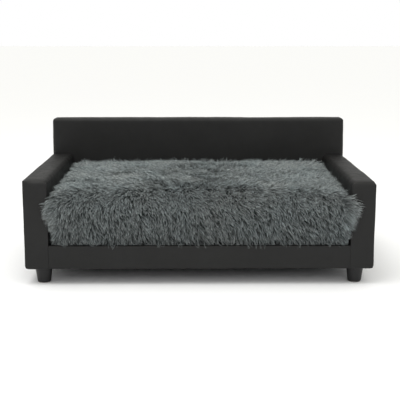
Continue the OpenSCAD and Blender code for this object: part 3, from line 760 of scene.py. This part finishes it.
def cushion_underside():
    """The plain base panel of the cover, and the band up its back with a window for the zip."""
    inset = 9 * MM
    lo, hi = base_lo + inset, base_hi - inset
    hi[1] = band_face - 1 * MM
    xs, ys = lines(lo[0], hi[0], 12 * MM, 30 * MM), lines(lo[1], hi[1], 12 * MM, 30 * MM)
    p, quads = sheet_surface(xs, ys, base_lo[2] + 0.1 * MM, base_top - 0.1 * MM)
    for edge in four_edges((0, 1), lo, hi, 30 * MM):
        round_edges(p, *edge)
    p[:, 2] += 0.05 * MM * waves(p[:, :2], 0.07, 41)
    cloth_piece("base_panel", "cushion_base_cloth", (p, quads), "black_cloth", "cushion")
    stop_x = float(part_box("zip_end_stops")[1][0])
    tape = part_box("zip_tapes")
    window_x = stop_x + 12 * MM
    window = (tape[0][2] + 7 * MM, tape[1][2] - 7 * MM)
    us = np.unique(np.concatenate([lines(-band_x, band_x, 10 * MM, 10 * MM), [-window_x, window_x]]))
    vs = np.unique(np.concatenate([np.linspace(base_top, band_top, 18), window]))
    mid_u, mid_v = (us[:-1] + us[1:]) / 2, (vs[:-1] + vs[1:]) / 2
    hole = (np.abs(mid_u) < window_x)[:, None] & ((mid_v > window[0]) & (mid_v < window[1]))[None]
    p, quads = sheet_surface(us, vs, band_face - 2.5 * MM, band_face - 0.2 * MM, ~hole)
    p[:, 2] -= 0.15 * MM * (1 + waves(p[:, :2], 0.05, 42))
    cloth_piece("zip_band", None, (p[:, [0, 2, 1]], quads[:, ::-1]), "black_cloth", "cushion")


def under_cloths():
    """The cloth on the deck board and the dust cloth stapled under the frame."""
    lo, hi = box("deck_cloth")
    us, vs = (lines(lo[k], hi[k], 9 * MM, 9 * MM) for k in (0, 1))
    p, quads = sheet_surface(us, vs, lo[2], hi[2])
    p[:, 2] -= 0.12 * MM * (1 + waves(p[:, :2], 0.09, 43))
    cloth_piece("deck_covering", "deck_cloth", (p, quads), "black_cloth", "frame")
    lo, hi = box("dust_cloth")
    us, vs = (lines(lo[k], hi[k], 6 * MM, 9 * MM) for k in (0, 1))
    feet = [core_of(n) for n in frame["nodes"] if n.startswith(("foot_front", "foot_rear"))]
    centres = np.array([(a[:2] + b[:2]) / 2 for a, b in feet])
    foot_r = (feet[0][1][0] - feet[0][0][0]) / 2 + 1 * MM
    corner_u, corner_v = np.meshgrid(us, vs, indexing="ij")
    away = np.min([np.hypot(corner_u - x, corner_v - y) for x, y in centres], axis=0)
    inside = away < foot_r
    keep = ~(inside[:-1, :-1] & inside[1:, :-1] & inside[:-1, 1:] & inside[1:, 1:])
    p, quads = sheet_surface(us, vs, lo[2], hi[2], keep)
    for x, y in centres:
        d = p[:, :2] - (x, y)
        r = np.linalg.norm(d, axis=1, keepdims=True)
        p[:, :2] = np.where(r < foot_r, (x, y) + d / np.maximum(r, 1e-9) * foot_r, p[:, :2])
    middle = np.prod(1 - np.abs((p[:, :2] - (lo + hi)[:2] / 2) / (hi - lo)[:2] * 2) ** 3, axis=1)
    p[:, 2] -= 3 * MM * middle * (1 + 0.3 * waves(p[:, :2], 0.3, 44))
    cloth_piece("underside_cloth", "dust_cloth", (p, quads), "black_cloth", "frame")


# ---- fur ----

FAN_Z = 0.25           # height of the point that the fur at a front corner fans out from
STRAND_RINGS = 4       # rings of a strand before its tip, the root's included
PIECE_STRANDS = 8700   # strands in one piece


def sample_surface(ob, count, rng, weight):
    """count random points on a mesh and their smooth normals; weight gives each face's share per area."""
    me = ob.data
    me.calc_loop_triangles()
    tri = values_of(me.loop_triangles, "vertices", 3, np.int32)
    p, n = coords(me), normals(me)
    a, b, c = (p[tri[:, k]] for k in range(3))
    area = np.linalg.norm(np.cross(b - a, c - a), axis=1) / 2
    share = area * weight((a + b + c) / 3, unit(np.cross(b - a, c - a)))
    pick = rng.choice(len(tri), size=count, p=share / share.sum())
    u, v = rng.random(count), rng.random(count)
    u, v = np.where(u + v > 1, 1 - u, u), np.where(u + v > 1, 1 - v, v)
    w = np.stack([1 - u - v, u, v], axis=1)[:, :, None]
    return (p[tri[pick]] * w).sum(axis=1), unit((n[tri[pick]] * w).sum(axis=1))


def fur_share(p, n):
    """Fur grows on the top and the four sides, but not underneath or on the zip band."""
    share = smoothstep(n[:, 2], -0.75, -0.45)
    hidden = (np.abs(n[:, 0]) > 0.8) | (n[:, 1] > 0.8)
    share *= np.where(hidden, 0.5, 1.0)
    front_ends = smoothstep(np.abs(p[:, 0]), 0.44, 0.46) * (n[:, 1] < -0.2)
    share *= 1 + 0.5 * near_corner(p) + 0.8 * on_brow(n) + 0.7 * front_ends
    on_band = (n[:, 1] > 0.3) & (p[:, 2] < band_top + 6 * MM) & (np.abs(p[:, 0]) < band_x + 6 * MM)
    return np.where(on_band, 0.0, share)


def wisp_share(p, n):
    """Loose hairs are mostly seen along the cushion's edges."""
    top_edge = smoothstep(n[:, 2], 0.2, 0.5) * (1 - smoothstep(n[:, 2], 0.9, 0.98))
    top_edge *= np.where(n[:, 1] < -0.3, 0.15, 1.0)
    foot = smoothstep(-p[:, 2], -0.165, -0.145) * (n[:, 1] < -0.4) * 0.5
    return fur_share(p, n) * (0.05 + top_edge + foot)


def at_corner(p, inner, rear):
    """1 within inner of an arm and at the front, 0 from 48 mm off the arm or rear off the front."""
    share = smoothstep(np.abs(p[:, 0]), bay_x - 48 * MM, bay_x - inner)
    return share * smoothstep(-p[:, 1], -front_y - rear, -front_y - 8 * MM)


def tuft_share(p, n):
    """The tufts that bulge out past the arms grow at the two front corners."""
    return at_corner(p, 26 * MM, 24 * MM) * (0.4 + smoothstep(p[:, 2], 0.16, 0.26))


def comb(p, n):
    """The direction in which the fur lies at each point, along the surface."""
    x = p[:, 0] / bay_x
    top = np.clip(n[:, 2], 0, 1) ** 1.5
    front = np.clip(-n[:, 1], 0, 1)
    # on the top the fur lies outwards and forwards, and more forwards near the front
    side = np.tanh((x - 0.1) * 1.6)
    forwards = -0.5 - 0.7 * smoothstep(-p[:, 1], 0.1, 0.34)
    on_top = np.stack([side, forwards, np.full(len(p), -0.1)], axis=1)
    # on the front it hangs, leaning a little to the right, and outwards at the ends
    lean = (0.1 + 0.38 * smoothstep(x, -0.85, -0.2) - 0.55 * smoothstep(-x, 0.86, 0.97)
            + 0.2 * smoothstep(x, 0.86, 0.97))
    hang = np.stack([lean, np.full(len(p), -0.1), np.full(len(p), -1.0)], axis=1)
    # on the sides and the back it hangs too, and towards the front beside the arms
    beside = np.stack([np.sign(x) * 0.1, np.full(len(p), -0.45), np.full(len(p), -0.8)], axis=1)
    flow = on_top * top[:, None] + hang * front[:, None] ** 1.2
    flow += beside * np.clip(np.abs(n[:, 0]) + np.clip(n[:, 1], 0, 1), 0, 1)[:, None] * 0.8
    flow -= n * (flow * n).sum(axis=1, keepdims=True)
    flow = unit(flow)
    across = np.cross(n, flow)
    turn = (0.2 * top + 0.22) * waves(p, 0.16, 31) + 0.2 * waves(p, 0.05, 32)
    return unit(flow * np.cos(turn)[:, None] + across * np.sin(turn)[:, None])


def on_brow(n):
    """1 where the top rounds over into the front, 0 away from it."""
    return np.exp(-((n[:, 2] - 0.6) / 0.3) ** 2) * (n[:, 1] < -0.1)


def near_corner(p):
    """1 at the cushion's two upper front corners, 0 away from them."""
    return at_corner(p, 12 * MM, 40 * MM) * smoothstep(p[:, 2], 0.13, 0.2)


def corner_fan(p):
    """Where the fur at a front corner points: sideways, a little forwards, and away from the middle."""
    forwards = -0.5 - 0.9 * smoothstep(p[:, 2], 0.25, 0.28)
    return unit(np.stack([np.sign(p[:, 0]), forwards, (p[:, 2] - FAN_Z) * 11], axis=1))


def strand_paths(p, n, length, lift, rng, curl, loose, tufts):
    """Points along each strand: it leaves the cloth at an angle and bends down along the comb direction.

    loose turns it off that direction. Tufts lie wholly in the fan of their corner.
    """
    count = len(p)
    d = comb(p, n)
    across = np.cross(n, d)
    turn = rng.normal(0, 1, count)[:, None] * loose
    d, across = d * np.cos(turn) + across * np.sin(turn), across * np.cos(turn) - d * np.sin(turn)
    t = np.linspace(0, 1, STRAND_RINGS + 1)
    on_top = smoothstep(n[:, 2], 0.75, 0.95)
    flat = 1 - 0.35 * on_brow(n) - 0.5 * on_top
    ruffled = np.where(rng.random(count) < 0.08, rng.uniform(0.3, 0.8, count), 0)
    raised = ruffled + loose * rng.uniform(0.2, 1, count)
    start = math.pi / 2 - lift * flat * rng.uniform(0.75, 1.25, count)
    end = math.pi / 2 * rng.uniform(0.62, 0.95, count) - raised
    angle = start[:, None] + (end - start)[:, None] * np.sqrt(t)[None, :-1]
    sway = rng.normal(0, 0.2, count)[:, None] + curl * np.sin(
        rng.uniform(0, TURN, count)[:, None] + t[None, :-1] * rng.uniform(2, 7, count)[:, None])
    step = (n[:, None] * np.cos(angle)[..., None] + d[:, None] * np.sin(angle)[..., None]
            + across[:, None] * sway[..., None])
    fan = np.ones(count) if tufts else near_corner(p) * rng.uniform(0.3, 0.8, count)
    spread = unit(corner_fan(p) + rng.normal(0, 1, (count, 3)) * (0.1, 0.15, 0.4))
    fanned = spread[:, None] - UP * 0.6 * t[None, :-1, None]
    step = unit(step) * (1 - fan[:, None, None]) + fanned * fan[:, None, None]
    size = length * (1 + 0.15 * np.clip(-n[:, 1], 0, 1) + 0.25 * on_top)
    size *= 1 - fan * (0.45 - 0.45 * smoothstep(p[:, 2], 0.15, 0.27) + 0.2 * (p[:, 0] < 0))
    step = unit(step) * (size / STRAND_RINGS)[:, None, None]
    path = np.concatenate([np.zeros((count, 1, 3)), np.cumsum(step, axis=1)], axis=1)
    return p[:, None] + path


def clump(paths, roots, guides, guide_roots, pull):
    """Draws each strand's tip towards the nearest guide strand, as real pile gathers into locks."""
    tree = kdtree.KDTree(len(guide_roots))
    for k, g in enumerate(guide_roots):
        tree.insert(Vector(g), k)
    tree.balance()
    near = np.array([tree.find(Vector(r))[1] for r in roots])
    t = np.linspace(0, 1, paths.shape[1])[None, :, None]
    target = guides[near] * 0.75 + (paths - paths[:, :1] + guide_roots[near][:, None]) * 0.25
    return paths + (target - paths) * pull[:, None, None] * t ** 1.3, near


def strand_mesh(name, paths, width, shade, rng):
    """Closed three-sided tapered strands as one object, each with its own cell of the UV map."""
    count, rings = len(paths), STRAND_RINGS
    along = np.gradient(paths, axis=1)
    side = unit(np.cross(along, rng.normal(size=(count, 1, 3))))
    other = unit(np.cross(along, side))
    t = np.arange(rings) / rings
    taper = (0.75 + 0.6 * t - 1.1 * t ** 2)[None, :, None] * width[:, None, None]
    verts = np.empty((count, rings * 3 + 1, 3))
    for k in range(3):
        a = 2 * math.pi * k / 3
        ring = paths[:, :rings] + taper * 0.5 * (
            side[:, :rings] * math.cos(a) + other[:, :rings] * 0.6 * math.sin(a))
        verts[:, k:rings * 3:3] = ring
    verts[:, -1] = paths[:, -1]
    faces, corners_uv = [], []
    for r in range(rings - 1):
        for k in range(3):
            a, b = r * 3 + k, r * 3 + (k + 1) % 3
            faces += [(a, b, b + 3), (a, b + 3, a + 3)]
            corners_uv += [(k, r), (k + 1, r), (k + 1, r + 1), (k, r), (k + 1, r + 1), (k, r + 1)]
    for k in range(3):
        a, b = (rings - 1) * 3 + k, (rings - 1) * 3 + (k + 1) % 3
        faces.append((a, b, rings * 3))
        corners_uv += [(k, rings - 1), (k + 1, rings - 1), (k + 0.5, rings)]
    faces.append((2, 1, 0))
    corners_uv += [(2, 0), (1, 0), (1.5, 0.3)]
    faces = np.array(faces)
    step = rings * 3 + 1
    all_faces = (faces[None] + np.arange(count)[:, None, None] * step).reshape(-1, 3)
    ob = new_object(name, verts.reshape(-1, 3), all_faces)
    me = ob.data
    cells = math.ceil(math.sqrt(count))
    margin = 0.12
    local = np.array(corners_uv) / [3, rings] * (1 - 2 * margin) + margin
    cell = np.stack([np.arange(count) % cells, np.arange(count) // cells], axis=1)
    uv = (local[None] + cell[:, None]) / cells
    me.uv_layers.new(name="OFBake").data.foreach_set("uv", uv.astype(np.float32).ravel())
    place = np.concatenate([np.repeat(t, 3), [1.0]])
    me.attributes.new("place", "FLOAT", "POINT").data.foreach_set("value", np.tile(place, count))
    me.attributes.new("shade", "FLOAT", "POINT").data.foreach_set("value", np.repeat(shade, step))
    paint(ob, MATERIALS["faux_fur"])
    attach(ob, "cushion")


def grow_fur(cloth):
    """Broad tapered locks, finer paler hair that follows them, loose wisps, and tufts at the corners."""
    rng = np.random.default_rng(7)
    fewer = 1.0
    coats = (
        # name, strands, guides (none: the coat before), share, length and width in mm, lift, looseness,
        # pull to the guides, shade
        ("fur_locks", 38000, 14000, fur_share, (18, 26), (2.6, 4.2), 1.1, 0, (0.0, 0.35), (0.0, 0.9)),
        ("fur_hair", 9000, None, fur_share, (20, 28), (1.2, 1.8), 1.15, 0, (0.2, 0.7), (0.45, 1.0)),
        ("fur_wisps", 3400, 600, wisp_share, (21, 34), (1.4, 2.3), 1.1, 0.6, (0.5, 0.95), (0.4, 1.0)),
        ("fur_tufts", 1300, 90, tuft_share, (34, 66), (2.4, 3.8), 1.0, 0, (0.6, 0.97), (-0.1, 1.0)),
    )
    for name, count, guide_count, share, length, width, lift, loose, pull, shade in coats:
        tufts = share is tuft_share
        if guide_count:
            guide_p, guide_n = sample_surface(cloth, int(guide_count * fewer), rng, share)
            size = rng.uniform(*length, len(guide_p)) * 1.1 * MM
            guides = strand_paths(guide_p, guide_n, size, lift, rng, 0.18, loose, tufts)
        count = int(count * fewer)
        p, n = sample_surface(cloth, count, rng, share)
        order = np.argsort(p[:, 0])
        p, n = p[order], n[order]
        size = rng.uniform(*length, count) * MM
        paths = strand_paths(p, n, size, lift, rng, 0.2, loose, tufts)
        paths, lock = clump(paths, p, guides, guide_p, rng.uniform(*pull, count))
        lock_shade = rng.random(len(guide_p))[lock]
        tone = shade[0] + (shade[1] - shade[0]) * (0.7 * rng.random(count) + 0.3 * lock_shade)
        # painted light and shade: paler on the top as painted light from above, and darker on the brow and
        # towards the cushion's foot as painted shade
        tone += 0.1 * smoothstep(n[:, 2], 0.8, 0.97) - 0.06 * on_brow(n) - 0.04
        tone -= 0.12 * smoothstep(-p[:, 2], -0.26, -0.16) + 0.3 * smoothstep(-p[:, 2], -0.17, -0.135)
        paths = over_band(keep_in_bay(paths, front_y - 2 * MM, 1.2 * MM))
        paths[..., 1] = np.maximum(paths[..., 1], front_y - 29 * MM)
        broad = rng.uniform(*width, count) * MM
        guides, guide_p = paths, p
        pieces = max(1, math.ceil(count / PIECE_STRANDS))
        for k, part in enumerate(np.array_split(np.arange(count), pieces)):
            strand_mesh(f"{name}_{k + 1}", paths[part], broad[part], tone[part], rng)


# ---- stage, light and camera ----

SURROUND_LOW = 0.32    # brightness of the surround at the horizon
SURROUND_HIGH = 1.34   # and overhead
WHITE = (1, 1, 1, 1)
WARM_WHITE = (1, 0.99, 0.93, 1)
KEY_POWER = 40         # watts of the soft light overhead
FILL_POWER = 26        # and of the one in front
FLOOR_HALF = 60.0      # half the floor's side, so that its edge is out of sight
LENS = 78.8            # mm, on a sensor 36 mm wide
CAMERA_PLACE = (-0.0205, -3.025, 0.778)
CAMERA_DOWN = 10.68    # degrees that the camera looks down
CAMERA_TURN = -0.463   # degrees that it is turned from square on


def area_light(name, place, target, size, power):
    """A rectangular light at place that shines on target."""
    data = bpy.data.lights.new(name, "AREA")
    data.shape = "RECTANGLE"
    data.size, data.size_y = size
    data.energy = power
    ob = add_object(name, data)
    ob.location = place
    ob.rotation_euler = (Vector(target) - Vector(place)).to_track_quat("-Z", "Y").to_euler()


def studio():
    """A pale floor under a white surround that is brightest overhead, and two large soft lights."""
    floor_look = Look("pale_floor", roughness=0.9, specular=0.0)
    floor_look.colour(floor_look.mix(floor_look.noise(3), (0.965, 0.97, 0.985), (0.975, 0.98, 0.995)))
    corners = [(x * FLOOR_HALF, y * FLOOR_HALF, 0) for x, y in ((-1, -1), (1, -1), (1, 1), (-1, 1))]
    floor = new_object("floor", corners, [(0, 1, 2, 3)])
    floor.data.materials.append(floor_look.material)
    world = bpy.data.worlds.new("studio")
    world.use_nodes = True
    nodes, link = world.node_tree.nodes, world.node_tree.links.new
    where, height, level, tint, seen, path, mix = (nodes.new(f"ShaderNode{kind}") for kind in (
        "TexCoord", "SeparateXYZ", "MapRange", "ValToRGB", "Background", "LightPath", "MixShader"))
    link(where.outputs["Generated"], height.inputs[0])
    level.inputs["To Min"].default_value = SURROUND_LOW
    level.inputs["To Max"].default_value = SURROUND_HIGH
    link(height.outputs["Z"], level.inputs["Value"])
    for element, colour in zip(tint.color_ramp.elements, (WHITE, WARM_WHITE)):
        element.color = colour
    link(height.outputs["Z"], tint.inputs["Fac"])
    lit = nodes["Background"]
    link(tint.outputs["Color"], lit.inputs["Color"])
    link(level.outputs["Result"], lit.inputs["Strength"])
    # the camera sees plain white, while the graded surround lights the bed
    seen.inputs["Color"].default_value = WHITE
    for socket, source in zip(mix.inputs, (path.outputs["Is Camera Ray"], lit.outputs[0], seen.outputs[0])):
        link(source, socket)
    link(mix.outputs[0], nodes["World Output"].inputs["Surface"])
    bpy.context.scene.world = world
    area_light("overhead", (-0.9, -0.9, 3.4), (0, -0.1, 0.2), (2.4, 2.4), KEY_POWER)
    area_light("front_fill", (0.4, -4.2, 1.9), (0, 0.2, 0.35), (2.0, 1.4), FILL_POWER)


def photo_camera():
    """A standing photographer's view from about 3 m, almost square on."""
    data = bpy.data.cameras.new("camera")
    data.sensor_width = 36.0
    data.lens = LENS
    ob = add_object("camera", data)
    ob.location = CAMERA_PLACE
    ob.rotation_euler = (math.radians(90 - CAMERA_DOWN), 0, math.radians(CAMERA_TURN))
    bpy.context.scene.camera = ob


photo_camera()
studio()
bpy.context.scene.view_settings.view_transform = "Standard"
paint_cad_nodes()
backrest()
arm(-1)
arm(1)
front_rail()
under_cloths()
cushion_underside()
grow_fur(cushion_cloth())
